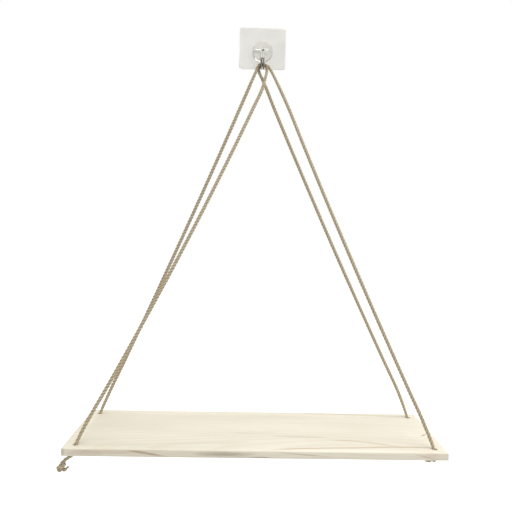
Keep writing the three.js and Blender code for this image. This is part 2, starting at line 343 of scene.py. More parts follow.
@dataclass(frozen=True)
class PineFinish:
    """Sanded, unfinished pine with long growth rings that arch near the front, and painted shade along some
    of its edges.
    """

    pale: Colour = tone(240, 233, 216)
    cool: Colour = tone(229, 224, 205)
    late: Colour = tone(222, 206, 176)
    pore_colour: Colour = tone(190, 168, 134)
    line_colour: Colour = tone(190, 168, 132)
    cloud: Pattern = Pattern((7, 30, 30), 2.0)
    cloud_span: Span = (0.35, 0.7)
    grain: Pattern = Pattern((14, 420, 420), 3.0, 0.6)
    grain_span: Span = (0.5, 0.8)
    grain_share: float = 0.22
    pores: Pattern = Pattern((60, 1500, 1500), 1.0)
    pore_span: Span = (0.62, 0.85)
    pore_share: float = 0.25
    ring_share: float = 0.26
    ring_gap: float = 0.0046
    ring_rise: Span = (0.45, 0.9)
    ring_fall: Span = (0.93, 1.0)
    pith: Span = (-0.118, -0.516)
    arch_centre: float = 0.1
    arch_length: float = 0.05
    arch_height: float = 0.004
    wander: Pattern = Pattern((3.5, 22, 22), 2.0, 0.45)
    wander_reach: float = 0.012
    line_fade: float = 0.018
    line_core_share: float = 0.2
    mark_rim: Pattern = Pattern((90, 500, 500), 2.0, 0.6)
    mark_rim_share: float = 0.7
    mark_fade: Span = (0.7, 1.45)
    roughness: float = 0.62
    specular: float = 0.35
    grain_relief_share: float = 0.7
    pore_relief_share: float = 0.5
    relief: Relief = Relief(0.00012, 0.35)
    lines: tuple[GrainLine, ...] = (
        GrainLine(
            width=0.0022,
            strength=0.75,
            course=(
                (0.0179, -0.1186), (0.0597, -0.114), (0.1154, -0.1106), (0.1608, -0.1073),
                (0.2006, -0.1087),
            ),
        ),
        GrainLine(
            width=0.002,
            strength=0.6,
            course=(
                (0.0809, -0.0903), (0.1025, -0.0909), (0.1191, -0.0935), (0.1404, -0.0996),
                (0.1635, -0.1056),
            ),
        ),
        GrainLine(
            width=0.0024,
            strength=0.4,
            course=((0.0152, -0.0802), (0.0521, -0.0816), (0.0891, -0.0821)),
        ),
        GrainLine(
            width=0.0026,
            strength=0.2,
            course=(
                (-0.1626, -0.1126), (-0.1158, -0.1074), (-0.0614, -0.1026), (-0.017, -0.0999),
                (-0.0023, -0.0948),
            ),
        ),
        GrainLine(
            width=0.0024,
            strength=0.3,
            course=((-0.0347, -0.0701), (-0.0113, -0.0728), (0.0085, -0.0735)),
        ),
        GrainLine(
            width=0.0022,
            strength=0.45,
            course=((0.0603, -0.0029), (0.125, -0.0057), (0.199, -0.0114)),
        ),
    )
    marks_and_painted_edge_shade: tuple[ColourPatch, ...] = (
        top_mark(0.199, -0.0717, (0.0062, 0.0011, 0.004), tone(122, 108, 78), 0.85, 0.66),
        top_mark(0.11, -0.119, (0.095, 0.0045, 0.002), tone(250, 241, 222), 0.6),
        # Painted shade along the top's back edge.
        top_mark(0.0, -0.0005, (0.23, 0.0014, 0.002), tone(206, 200, 182), 0.7),
        # Painted shade along the top's left end.
        top_mark(-0.21, -0.062, (0.0014, 0.075, 0.003), tone(196, 190, 172), 0.7),
        front_mark(-0.119, 0.0037, (0.024, 0.004, 0.0015), tone(160, 130, 95), 0.65, 0.15),
        # Painted shade along the front's top edge, at the left.
        front_mark(-0.15, 0.0025, (0.05, 0.004, 0.003), tone(188, 160, 128), 0.3),
        front_mark(-0.0352, 0.0037, (0.036, 0.004, 0.0031), tone(146, 122, 102), 0.5),
        # Painted shade along the front's bottom edge.
        front_mark(0.004, 0.0069, (0.016, 0.004, 0.001), tone(120, 105, 80), 0.5),
        # Painted shade along the front's bottom edge.
        front_mark(-0.05, 0.0078, (0.16, 0.004, 0.0007), tone(150, 135, 110), 0.5),
        front_mark(0.191, 0.0025, (0.013, 0.004, 0.0026), tone(222, 186, 168), 0.35),
        front_mark(0.186, 0.0045, (0.016, 0.004, 0.0008), tone(172, 142, 122), 0.4, 0.22),
        front_mark(0.0523, 0.0032, (0.033, 0.004, 0.0009), tone(165, 155, 130), 0.45, 0.08),
        # Painted shade at the front's left end.
        front_mark(-0.2085, 0.003, (0.003, 0.004, 0.005), tone(170, 160, 140), 0.5),
        front_mark(-0.185, 0.004, (0.02, 0.004, 0.004), tone(200, 172, 150), 0.35),
    )

    def build(self) -> Material:
        """Makes the material.

        Returns:
            The material.
        """
        finish = Finish("sanded_pine")
        cloud = finish.noise(finish.place, self.cloud)
        grain = finish.noise(finish.place, self.grain)
        pores = finish.noise(finish.place, self.pores)
        rim = finish.times(finish.noise(finish.place, self.mark_rim), self.mark_rim_share)
        colour = finish.wash(self.pale, self.cool, cloud, self.cloud_span)
        colour = finish.mix(finish.times(self.rings(finish), self.ring_share), colour, self.late)
        colour = finish.wash(colour, self.late, grain, self.grain_span, self.grain_share)
        colour = finish.wash(colour, self.pore_colour, pores, self.pore_span, self.pore_share)
        for line in self.lines:
            colour = self.lined(finish, colour, line)
        for mark in self.marks_and_painted_edge_shade:
            colour = self.marked(finish, colour, mark, rim)
        finish.set(Base_Color=colour, Roughness=self.roughness, Specular_IOR_Level=self.specular)
        grain_relief = finish.times(grain, self.grain_relief_share)
        pore_relief = finish.times(pores, self.pore_relief_share)
        finish.bump(finish.plus(grain_relief, pore_relief), self.relief)
        return finish.material

    def rings(self, finish: Finish) -> Socket:
        """Makes the growth rings, which run along the plank and arch over its right half.

        Args:
            finish: The material being made.

        Returns:
            0 in the pale wood, rising to 1 at each ring's dark edge.
        """
        along, across, up = finish.axes()
        side = finish.minus(across, self.pith[0])
        rise = finish.minus(up, self.pith[1])
        reach = finish.compute("SQRT", finish.plus(finish.times(side, side), finish.times(rise, rise)))
        away = finish.compute("DIVIDE", finish.minus(along, self.arch_centre), self.arch_length)
        arch = finish.compute("SQRT", finish.plus(finish.times(away, away), 1.0))
        wander = finish.noise(finish.place, self.wander)
        depth = finish.plus(reach, finish.times(arch, self.arch_height))
        depth = finish.plus(depth, finish.times(wander, self.wander_reach))
        turn = finish.compute("FRACT", finish.compute("DIVIDE", depth, self.ring_gap))
        past_edge = finish.spread(turn, self.ring_fall)
        return finish.times(finish.spread(turn, self.ring_rise), finish.minus(1.0, past_edge))

    def lined(self, finish: Finish, colour: Socket, line: GrainLine) -> Socket:
        """Adds one long grain line to the colour.

        Args:
            finish: The material being made.
            colour: The colour so far.
            line: The line.

        Returns:
            The colour with the line.
        """
        start, end = line.course[0][0], line.course[-1][0]
        shares = [((x - start) / (end - start), 1 - y / PLANK_FRONT) for x, y in line.course]
        along, across, _ = finish.axes()
        curve = finish.add("ShaderNodeFloatCurve", {"Value": finish.spread(along, (start, end))})
        bends = curve.mapping.curves[0].points
        for bend in shares[1:-1]:
            bends.new(*bend)
        bends[0].location = shares[0]
        bends[-1].location = shares[-1]
        curve.mapping.update()
        course = finish.times(finish.minus(1.0, curve.outputs[0]), PLANK_FRONT)
        off = finish.compute("ABSOLUTE", finish.minus(across, course))
        share = finish.minus(1.0, finish.spread(off, (self.line_core_share * line.width, line.width)))
        for tip, inside in ((start, start + self.line_fade), (end, end - self.line_fade)):
            share = finish.times(share, finish.spread(along, (tip, inside)))
        return finish.mix(finish.times(share, line.strength), colour, self.line_colour)

    def marked(self, finish: Finish, colour: Socket, mark: ColourPatch, rim: Socket) -> Socket:
        """Adds one mark to the colour.

        Args:
            finish: The material being made.
            colour: The colour so far.
            mark: The mark.
            rim: The pattern that makes its rim uneven.

        Returns:
            The colour with the mark.
        """
        feeds = {"Location": mark.centre, "Rotation": mark.turn, "Scale": mark.reach}
        feeds["Vector"] = finish.place
        local = finish.add("ShaderNodeMapping", feeds, vector_type="TEXTURE").outputs["Vector"]
        away = finish.add("ShaderNodeVectorMath", {0: local}, operation="LENGTH").outputs["Value"]
        share = finish.minus(1.0, finish.spread(finish.plus(away, rim), self.mark_fade))
        return finish.mix(finish.times(share, mark.strength), colour, mark.colour)


@dataclass(frozen=True)
class JuteFinish:
    """Three-strand jute: pale brown crests, lays darkened with painted shade, fine streaks of fibre, and dark
    brown painted shade in the bights round the hook.
    """

    # Crest and lay are lit and shaded copies of the jute colour: the lay colour is painted shade in the
    # grooves between the strands, and it also serves for the dark fibre streaks.
    crest: Colour = tone(209, 196, 168)
    lay: Colour = tone(139, 121, 92)
    crest_span: Span = (0.0, 0.75)
    fibre: Pattern = Pattern((160, 46, 1), 3.0, 0.65)
    straw: Colour = tone(220, 209, 184)
    straw_span: Span = (0.52, 0.78)
    straw_share: float = 0.7
    dark_span: Span = (0.48, 0.25)
    dark_share: float = 0.6
    tuft: Pattern = Pattern((40, 5, 1), 2.0)
    tuft_colour: Colour = tone(168, 150, 118)
    tuft_share: float = 0.3
    # Painted shade: the rope turns dark brown round the hook's bottom, where its bights lie in shade.
    painted_bight_shade: Colour = tone(112, 90, 62)
    painted_bight_shade_centre: Point = (0.0, -0.0116, -0.0245)
    painted_bight_shade_span: Span = (0.0105, 0.0042)
    painted_bight_shade_share: float = 0.75
    roughness: float = 0.88
    specular: float = 0.2
    sheen: float = 0.15
    sheen_roughness: float = 0.5
    relief: Relief = Relief(0.0003, 0.8)

    def build(self) -> Material:
        """Makes the material.

        Returns:
            The material.
        """
        finish = Finish("twisted_jute")
        unrolled = finish.add("ShaderNodeUVMap", uv_map="unrolled").outputs["UV"]
        height = finish.add("ShaderNodeAttribute", attribute_name="crest").outputs["Fac"]
        fibre = finish.noise(unrolled, self.fibre)
        tuft = finish.noise(unrolled, self.tuft)
        feeds = {0: finish.place, 1: self.painted_bight_shade_centre}
        from_hook = finish.add("ShaderNodeVectorMath", feeds, operation="DISTANCE").outputs["Value"]
        # Painted shade: the grooves between the strands take the dark lay colour by the crest height.
        colour = finish.wash(self.lay, self.crest, height, self.crest_span)
        colour = finish.wash(colour, self.straw, fibre, self.straw_span, self.straw_share)
        colour = finish.wash(colour, self.lay, fibre, self.dark_span, self.dark_share)
        colour = finish.mix(finish.times(tuft, self.tuft_share), colour, self.tuft_colour)
        # Painted shade in the bights round the hook.
        colour = finish.wash(colour, self.painted_bight_shade, from_hook, self.painted_bight_shade_span, self.painted_bight_shade_share)
        finish.set(Base_Color=colour, Roughness=self.roughness, Specular_IOR_Level=self.specular)
        finish.set(Sheen_Weight=self.sheen, Sheen_Roughness=self.sheen_roughness)
        finish.bump(fibre, self.relief)
        return finish.material


@dataclass(frozen=True)
class FibreFinish:
    """Loose jute fibres, straw-pale and fine."""

    straw: Colour = tone(204, 190, 160)
    brown: Colour = tone(160, 140, 106)
    shade: Pattern = Pattern((900, 900, 900), 1.0)
    shade_span: Span = (0.35, 0.65)
    roughness: float = 0.8
    specular: float = 0.2

    def build(self) -> Material:
        """Makes the material.

        Returns:
            The material.
        """
        finish = Finish("loose_jute_fibre")
        shade = finish.noise(finish.place, self.shade)
        colour = finish.wash(self.straw, self.brown, shade, self.shade_span)
        finish.set(Base_Color=colour, Roughness=self.roughness, Specular_IOR_Level=self.specular)
        return finish.material


@dataclass(frozen=True)
class ClearFinish:
    """Clear plastic that lets most light through and keeps a soft gloss."""

    name: str
    tint: Colour
    roughness: float
    transmission: float
    haze_scale: float
    haze_detail: float = 2.0
    haze_span: Span = (0.3, 0.7)
    haze_shade: float = 0.93
    haze_roughness_share: float = 0.6
    refraction: float = 1.47
    relief: Relief = Relief(0.00006, 0.25)

    def build(self) -> Material:
        """Makes the material.

        Returns:
            The material.
        """
        finish = Finish(self.name)
        haze = finish.noise(finish.place, Pattern((self.haze_scale,) * 3, self.haze_detail))
        red, green, blue = (self.haze_shade * part for part in self.tint[:3])
        colour = finish.wash(self.tint, (red, green, blue, 1.0), haze, self.haze_span)
        dullness = finish.times(haze, self.roughness * self.haze_roughness_share)
        finish.set(Base_Color=colour, Roughness=finish.plus(self.roughness, dullness))
        finish.set(IOR=self.refraction, Transmission_Weight=self.transmission)
        finish.bump(haze, self.relief)
        return finish.material


@dataclass(frozen=True)
class WireFinish:
    """Bright drawn steel wire with faint drawing lines. Its lower hook, among the ropes, is darkened and
    browned in random smears as painted shade and painted reflection of the jute, and its upper shaft is
    painted pale as painted light.
    """

    # Painted light: the paler colour of the upper shaft, above the hook.
    painted_light_shaft: Colour = tone(222, 221, 217)
    painted_light_shaft_span: Span = (-0.0142, -0.0122)
    # Painted shade: the lower hook's dark grey and brown colours stand in for its shade and the jute's
    # reflection.
    painted_shade_steel: Colour = tone(146, 142, 132)
    painted_shade_brown: Colour = tone(92, 86, 76)
    smear: Pattern = Pattern((260, 260, 260), 2.0)
    smear_span: Span = (0.35, 0.7)
    drawn: Pattern = Pattern((2600, 2600, 260), 2.0)
    roughness: float = 0.2
    drawn_roughness: float = 0.2
    relief: Relief = Relief(0.00004, 0.3)

    def build(self) -> Material:
        """Makes the material.

        Returns:
            The material.
        """
        finish = Finish("drawn_steel_wire")
        drawn = finish.noise(finish.place, self.drawn)
        smear = finish.noise(finish.place, self.smear)
        _, _, up = finish.axes()
        # Painted shade and painted reflection over the lower hook, broken up by random smears.
        colour = finish.wash(self.painted_shade_steel, self.painted_shade_brown, smear, self.smear_span)
        # Painted light: the upper shaft is paler.
        colour = finish.wash(colour, self.painted_light_shaft, up, self.painted_light_shaft_span)
        rough = finish.plus(self.roughness, finish.times(drawn, self.drawn_roughness))
        finish.set(Base_Color=colour, Metallic=1.0, Roughness=rough)
        finish.bump(drawn, self.relief)
        return finish.material


@dataclass(frozen=True)
class FloorFinish:
    """A plain pale studio floor that shows white to the camera and keeps its shadows."""

    pale: Colour = tone(244, 244, 243)
    grey: Colour = tone(225, 225, 224)
    speckle: Pattern = Pattern((40, 40, 40), 3.0, 0.6)
    speckle_share: float = 0.04
    roughness: float = 0.9
    specular: float = 0.1
    lift: float = 0.6

    def build(self) -> Material:
        """Makes the material.

        Returns:
            The material.
        """
        finish = Finish("studio_floor")
        speckle = finish.noise(finish.place, self.speckle)
        colour = finish.mix(finish.times(speckle, self.speckle_share), self.pale, self.grey)
        finish.set(Base_Color=colour, Roughness=self.roughness, Specular_IOR_Level=self.specular)
        finish.set(Emission_Color=WHITE, Emission_Strength=finish.times(finish.looked_at(), self.lift))
        return finish.material


def soften(form: Form, sharp_degrees: float = 35.0) -> None:
    """Shades a mesh smooth and keeps its sharp edges.

    Args:
        form: The mesh.
        sharp_degrees: The angle from which an edge stays sharp.
    """
    for face in form.faces:
        face.smooth = True
    limit = math.radians(sharp_degrees)
    for edge in form.edges:
        edge.smooth = len(edge.link_faces) == 2 and edge.calc_face_angle(0.0) < limit


def as_object(name: str, form: Form, material: Material) -> Piece:
    """Turns a finished bmesh into an object of the scene.

    Args:
        name: The piece's name.
        form: The mesh, which is freed.
        material: Its material.

    Returns:
        The object.
    """
    mesh = bpy.data.meshes.new(name)
    form.to_mesh(mesh)
    form.free()
    mesh.materials.append(material)
    piece = bpy.data.objects.new(name, mesh)
    bpy.context.scene.collection.objects.link(piece)
    return piece


def tubes(name: str, lines: list[list[Point]], radius: float, facets: int, taper: float = 0.0) -> Form:
    """Makes round tubes with closed ends along lines.

    Args:
        name: A name for the curve that they are made from, which is removed.
        lines: The middle line of each tube.
        radius: Their radius at the start.
        facets: The curve's bevel resolution. With none a tube has four sides.
        taper: The share of the radius lost from each point to the next.

    Returns:
        The mesh.
    """
    curve = bpy.data.curves.new(name, "CURVE")
    curve.dimensions = "3D"
    curve.bevel_depth = radius
    curve.bevel_resolution = facets
    curve.use_fill_caps = True
    for line in lines:
        spline = curve.splines.new("POLY")
        spline.points.add(len(line) - 1)
        for i, point in enumerate(line):
            spline.points[i].co = (*point, 1.0)
            spline.points[i].radius = 1 - taper * i
    holder = bpy.data.objects.new(name, curve)
    bpy.context.scene.collection.objects.link(holder)
    view = bpy.context.evaluated_depsgraph_get()
    mesh = bpy.data.meshes.new_from_object(holder.evaluated_get(view))
    form = bmesh.new()
    form.from_mesh(mesh)
    bpy.data.objects.remove(holder)
    bpy.data.curves.remove(curve)
    bpy.data.meshes.remove(mesh)
    return form


def box(low: Point, high: Point) -> Form:
    """Makes a plain box.

    Args:
        low: Its lowest corner.
        high: Its highest corner.

    Returns:
        The mesh.
    """
    form = bmesh.new()
    bmesh.ops.create_cube(form, size=1.0)
    bmesh.ops.scale(form, vec=Vector(high) - Vector(low), verts=form.verts)
    bmesh.ops.translate(form, vec=(Vector(high) + Vector(low)) / 2, verts=form.verts)
    return form


def ease(
    form: Form, edges: list[bmesh.types.BMEdge], radius: float, segments: int = EDGE_STEPS
) -> None:
    """Rounds edges of a mesh.

    Args:
        form: The mesh.
        edges: The edges.
        radius: The rounding.
        segments: Its steps.
    """
    bmesh.ops.bevel(
        form, geom=edges, offset=radius, segments=segments, affect="EDGES", profile=0.5, material=-1
    )


def eased_slab(low: Point, high: Point, thickness: Axis, corner: float, edge: float) -> Form:
    """Makes a slab with round corners and eased edges.

    Args:
        low: Its lowest corner.
        high: Its highest corner.
        thickness: The axis that its thickness runs along.
        corner: The radius of its four corners.
        edge: The rounding of its edges.

    Returns:
        The mesh.
    """
    form = box(low, high)
    run = thickness.value
    ways = {e: (e.verts[0].co - e.verts[1].co).normalized() for e in form.edges}
    posts = [e for e, way in ways.items() if abs(way[run]) > ALONG_SHARE]
    ease(form, posts, corner, segments=CORNER_STEPS)
    for level in (low[run], high[run]):
        flat = [e for e in form.edges if all(abs(v.co[run] - level) < MERGE_REACH for v in e.verts)]
        ease(form, [e for e in flat if any(abs(f.normal[run]) < ACROSS_SHARE for f in e.link_faces)], edge)
    return form


def cut(piece: Piece, cutters: list[Form], edge: float) -> None:
    """Cuts forms out of a piece and eases the edges that the cuts leave.

    Args:
        piece: The object to cut.
        cutters: The forms to take away, which are freed.
        edge: The rounding of the new edges.
    """
    material = piece.data.materials[0]
    tools = [as_object(f"{piece.name}_cut_{i}", form, material) for i, form in enumerate(cutters)]
    for tool in tools:
        step = piece.modifiers.new(tool.name, "BOOLEAN")
        step.operation = "DIFFERENCE"
        step.solver = "EXACT"
        step.object = tool
    rounding = piece.modifiers.new("rounding", "BEVEL")
    rounding.width = edge
    rounding.segments = CUT_EDGE_STEPS
    rounding.limit_method = "ANGLE"
    rounding.angle_limit = math.radians(CUT_EDGE_DEGREES)
    view = bpy.context.evaluated_depsgraph_get()
    view.update()
    done = bpy.data.meshes.new_from_object(piece.evaluated_get(view))
    piece.modifiers.clear()
    piece.data = done
    for tool in tools:
        bpy.data.objects.remove(tool)
    form = bmesh.new()
    form.from_mesh(done)
    bmesh.ops.remove_doubles(form, verts=form.verts, dist=MERGE_REACH)
    soften(form, sharp_degrees=28.0)
    form.to_mesh(done)
    form.free()


def turns(start: float, end: float, steps: int) -> list[float]:
    """Divides a turn into even steps, with both its ends."""
    return [start + (end - start) * step / steps for step in range(steps + 1)]


def settle(piece: Piece, body: Body, node: str) -> Piece:
    """Sets a piece on its body, in place of its solid.

    Args:
        piece: The object.
        body: The body that it rides on.
        node: The solid that it stands for.

    Returns:
        The same object.
    """
    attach(piece, body.value)
    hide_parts(node)
    log.info("%s: %d faces", piece.name, len(piece.data.polygons))
    return piece


@dataclass(frozen=True)
class WallHook:
    """The adhesive hook: film, plate, boss, pivot cover and the folded wire hook."""

    plate_width: float = 0.058
    plate_height: float = 0.0515
    plate_thickness: float = 0.0016
    plate_corner: float = 0.003
    plate_edge: float = 0.0004
    border_width: float = 0.0016
    border_rise: float = 0.00025
    film_thickness: float = 0.0005
    film_inset: float = 0.0006
    film_edge: float = 0.0001
    boss_radius: float = 0.0125
    boss_depth: float = 0.0047
    boss_drop: float = 0.0046
    boss_sink: float = 0.0002
    boss_facets: int = 96
    rim_round: float = 0.0012
    rim_steps: int = 6
    recess_radius: float = 0.0104
    recess_slope: float = 0.0003
    recess_depth: float = 0.0002
    cover_width: float = 0.022
    cover_height: float = 0.007
    cover_thickness: float = 0.0014
    cover_corner: float = 0.002
    cover_edge: float = 0.0004
    wire_radius: float = 0.0009
    wire_facets: int = 6
    wire_end_edge: float = 0.0002
    wire_pitch: float = 0.003
    arm_reach: float = 0.009
    arm_drop: float = 0.0034
    arm_bend: float = 0.0022
    arm_steps: int = 16
    hook_drop: float = 0.0215
    hook_radius: float = 0.006
    hook_steps: int = 40
    tip_rise: float = 0.006
    tip_steps: int = 12
    clearance: float = 0.0003
    slot_clearance: float = 0.001
    groove_edge: float = 0.00018
    notch_edge: float = 0.00015
    seat_gap: float = 0.00002
    slot_step: float = 0.00001
    overrun: float = 0.002
    film_finish: ClearFinish = ClearFinish(
        "sticky_film", tone(253, 252, 250), roughness=0.3, transmission=0.86, haze_scale=160.0
    )
    plate_finish: ClearFinish = ClearFinish(
        "clear_plate", tone(251, 250, 246), roughness=0.08, transmission=0.9, haze_scale=60.0
    )
    moulded_finish: ClearFinish = ClearFinish(
        "clear_moulding", tone(255, 255, 252), roughness=0.06, transmission=0.93, haze_scale=120.0
    )

    @property
    def plate_front(self) -> float:
        """Where the plate's front face stands."""
        return -self.film_thickness - self.plate_thickness

    @property
    def boss_front(self) -> float:
        """Where the boss's front face stands."""
        return self.plate_front - self.boss_depth

    @property
    def arm_y(self) -> float:
        """How far out the arms' axis stands."""
        return self.boss_front + self.clearance + self.wire_radius

    @property
    def arm_room(self) -> float:
        """How far the groove and the notch keep from the arms' axis."""
        return self.wire_radius + self.clearance

    @property
    def slot_half(self) -> float:
        """Half the width of the slot that the wires swing through."""
        return self.wire_pitch / 2 + self.wire_radius + self.slot_clearance

    def film(self, material: Material) -> Piece:
        """Makes the adhesive film.

        Args:
            material: Its material.

        Returns:
            The film.
        """
        x = self.plate_width / 2 - self.film_inset
        z = self.plate_height / 2 - self.film_inset
        low = (-x, -self.film_thickness + self.seat_gap, -z)
        corner = self.plate_corner - self.film_inset
        form = eased_slab(low, (x, 0, z), Axis.ACROSS_WALL, corner, self.film_edge)
        soften(form)
        return as_object("sticky_film", form, material)

    def plate(self, material: Material) -> Piece:
        """Makes the wall plate, with a low raised border round its front.

        Args:
            material: Its material.

        Returns:
            The plate.
        """
        x = self.plate_width / 2
        z = self.plate_height / 2
        low = (-x, self.plate_front, -z)
        high = (x, -self.film_thickness, z)
        form = eased_slab(low, high, Axis.ACROSS_WALL, self.plate_corner, self.plate_edge)
        front = max(form.faces, key=lambda f: f.calc_area() if f.normal.y < -ALONG_SHARE else 0.0)
        bmesh.ops.inset_region(form, faces=[front], thickness=self.border_width)
        bmesh.ops.translate(form, vec=(0, self.border_rise, 0), verts=front.verts)
        soften(form, sharp_degrees=50.0)
        return as_object("clear_plate", form, material)

    def boss_outline(self) -> list[Span]:
        """Lays out the boss's profile.

        Returns:
            Its points, from the middle of the back to that of the front, as how far each stands from the
            boss's axis and from its back.
        """
        rim = [
            (
                self.boss_radius - self.rim_round * (1 - math.cos(turn)),
                self.boss_depth - self.rim_round * (1 - math.sin(turn)),
            )
            for turn in turns(0, math.pi / 2, self.rim_steps)
        ]
        bottom = self.boss_depth - self.recess_depth
        recess = [
            (self.recess_radius, self.boss_depth),
            (self.recess_radius - self.recess_slope, bottom),
            (0.0, bottom),
        ]
        return [(0.0, 0.0), (self.boss_radius, 0.0), *rim, *recess]

    def boss(self, material: Material) -> Piece:
        """Makes the round boss by turning its profile, then cuts its groove and slot.

        Args:
            material: Its material.

        Returns:
            The boss.
        """
        form = bmesh.new()
        back = self.plate_front + self.boss_sink
        rim = [form.verts.new((r, back - depth, -self.boss_drop)) for r, depth in self.boss_outline()]
        edges = [form.edges.new(pair) for pair in zip(rim, rim[1:])]
        bmesh.ops.spin(
            form,
            geom=rim + edges,
            cent=(0, 0, -self.boss_drop),
            axis=(0, 1, 0),
            angle=math.tau,
            steps=self.boss_facets,
            use_merge=True,
        )
        bmesh.ops.remove_doubles(form, verts=form.verts, dist=MERGE_REACH)
        bmesh.ops.recalc_face_normals(form, faces=form.faces)
        piece = as_object("round_boss", form, material)
        floor = self.arm_y + self.arm_room
        reach = self.arm_reach + self.clearance
        top = -self.arm_drop + self.arm_room
        low = self.boss_front - self.overrun
        groove = box((-reach, low, -self.arm_drop - self.arm_room), (reach, floor, top))
        bottom = -self.boss_drop - self.boss_radius - self.overrun
        slot = box((-self.slot_half, low, bottom), (self.slot_half, floor, top - self.slot_step))
        cut(piece, [groove, slot], self.groove_edge)
        return piece

    def cover(self, material: Material) -> Piece:
        """Makes the pivot cover, notched from below for the wires.

        Args:
            material: Its material.

        Returns:
            The cover.
        """
        x = self.cover_width / 2
        z = self.cover_height / 2
        low = (-x, self.boss_front - self.cover_thickness, -self.arm_drop - z)
        high = (x, self.boss_front - self.seat_gap, -self.arm_drop + z)
        form = eased_slab(low, high, Axis.ACROSS_WALL, self.cover_corner, self.cover_edge)
        piece = as_object("arm_cover", form, material)
        notch = box(
            (-self.slot_half, low[1] - self.overrun, low[2] - self.overrun),
            (self.slot_half, self.boss_front + self.overrun, -self.arm_drop + self.arm_room),
        )
        cut(piece, [notch], self.notch_edge)
        return piece

    def wire_line(self) -> list[Point]:
        """Lays out the wire's middle line: arm, stem, round bottom and folded tip, then the same mirrored.

        Returns:
            Its points, from one arm's end to the other's.
        """
        x = self.wire_pitch / 2
        hook_y = self.arm_y - self.hook_radius
        tip_z = self.tip_rise - x - self.wire_radius - self.hook_drop
        half = [(self.arm_reach, self.arm_y, -self.arm_drop)]
        for turn in turns(math.pi / 2, math.pi, self.arm_steps):
            bend_x = x + self.arm_bend * (1 + math.cos(turn))
            half.append((bend_x, self.arm_y, -self.arm_drop - self.arm_bend * (1 - math.sin(turn))))
        for turn in turns(0, -math.pi, self.hook_steps):
            bend_y = hook_y + self.hook_radius * math.cos(turn)
            half.append((x, bend_y, -self.hook_drop + self.hook_radius * math.sin(turn)))
        for turn in turns(0, math.pi / 2, self.tip_steps):
            half.append((x * math.cos(turn), hook_y - self.hook_radius, tip_z + x * math.sin(turn)))
        return half + [(-px, py, pz) for px, py, pz in reversed(half[:-1])]

    def wire(self, material: Material) -> Piece:
        """Makes the folded wire hook as one round tube with closed ends.

        Args:
            material: Its material.

        Returns:
            The wire hook.
        """
        form = tubes("hook_line", [self.wire_line()], self.wire_radius, self.wire_facets)
        bmesh.ops.remove_doubles(form, verts=form.verts, dist=MERGE_REACH)
        bmesh.ops.recalc_face_normals(form, faces=form.faces)
        ends = [e for e in form.edges if any(len(f.verts) > 4 for f in e.link_faces)]
        ease(form, ends, self.wire_end_edge)
        soften(form, sharp_degrees=60.0)
        return as_object("folded_wire", form, material)

    def build(self) -> None:
        """Makes and settles every piece of the hook."""
        moulded = self.moulded_finish.build()
        settle(self.film(self.film_finish.build()), Body.WALL_MOUNT, "adhesive_film")
        settle(self.plate(self.plate_finish.build()), Body.WALL_MOUNT, "wall_plate")
        settle(self.boss(moulded), Body.WALL_MOUNT, "hook_boss")
        settle(self.cover(moulded), Body.WALL_MOUNT, "pivot_cover")
        settle(self.wire(WireFinish().build()), Body.HOOK, "wire_hook")


@dataclass(frozen=True)
class Plank:
    """The pine board with its four rope holes."""

    length: float = 0.42
    thickness: float = 0.008
    corner: float = 0.0015
    edge: float = 0.0006
    hole_radius: float = 0.003
    hole_inset: float = 0.012
    hole_edge: float = 0.0004
    hole_facets: int = 40
    hole_cutter_share: float = 3.0

    def hole(self, x: float, y: float) -> Form:
        """Makes the cutter of one rope hole.

        Args:
            x: Where the hole stands along the plank.
            y: Where it stands across the plank.

        Returns:
            The cutter.
        """
        form = bmesh.new()
        bmesh.ops.create_cone(
            form,
            cap_ends=True,
            segments=self.hole_facets,
            radius1=self.hole_radius,
            radius2=self.hole_radius,
            depth=self.hole_cutter_share * self.thickness,
        )
        bmesh.ops.translate(form, vec=(x, y, PLANK_TOP - self.thickness / 2), verts=form.verts)
        return form

    def build(self) -> None:
        """Makes the board, drills it, and settles it on the shelf."""
        back = -PLANK_WALL_GAP
        low = (-self.length / 2, PLANK_FRONT, PLANK_TOP - self.thickness)
        high = (self.length / 2, back, PLANK_TOP)
        form = eased_slab(low, high, Axis.UP, self.corner, self.edge)
        piece = as_object("pine_plank", form, PineFinish().build())
        x = self.length / 2 - self.hole_inset
        rows = (PLANK_FRONT + self.hole_inset, back - self.hole_inset)
        cut(piece, [self.hole(side * x, y) for side in (-1, 1) for y in rows], self.hole_edge)
        settle(piece, Body.SHELF, "plank")


# One half of an overhand knot, from its middle to where the rope leaves it, as shares of the knot's pitch.
# The first axis runs across the knot, the second is its axis of symmetry, the third is the rope's own line.
KNOT_HALF_SHARES: tuple[Point, ...] = (
    (0, 0.9, 0),
    (-0.7, 0.8, -0.5),
    (-1.15, 0.15, -0.95),
    (-0.9, -0.7, -1.1),
    (-0.1, -1.15, -0.9),
    (0.5, -0.95, -0.25),
    (0.45, -0.4, 0.25),
    (0.05, 0, 0.85),
)


@dataclass(frozen=True)
class Knot:
    """An overhand knot at a rope's end, with its short tail.

    Its rope way leads back up the rope, and its side way is where its axis of symmetry points.
    """

    middle: Point
    rope_way: Point
    side_way: Point
    tail: tuple[Point, ...]
    pitch: float = 0.0034

    def points(self) -> list[Vector]:
        """Lays out the knot.

        Returns:
            Its points, from where the rope enters it to the tail's end.
        """
        along = Vector(self.rope_way).normalized()
        side = Vector(self.side_way)
        side = (side - along * side.dot(along)).normalized()
        across = side.cross(along)
        middle = Vector(self.middle)
        half = list(KNOT_HALF_SHARES)
        shares = half[:0:-1] + [(-a, b, -c) for a, b, c in half]
        bends = [middle + (across * a + side * b + along * c) * self.pitch for a, b, c in shares]
        return bends + [Vector(p) for p in self.tail]


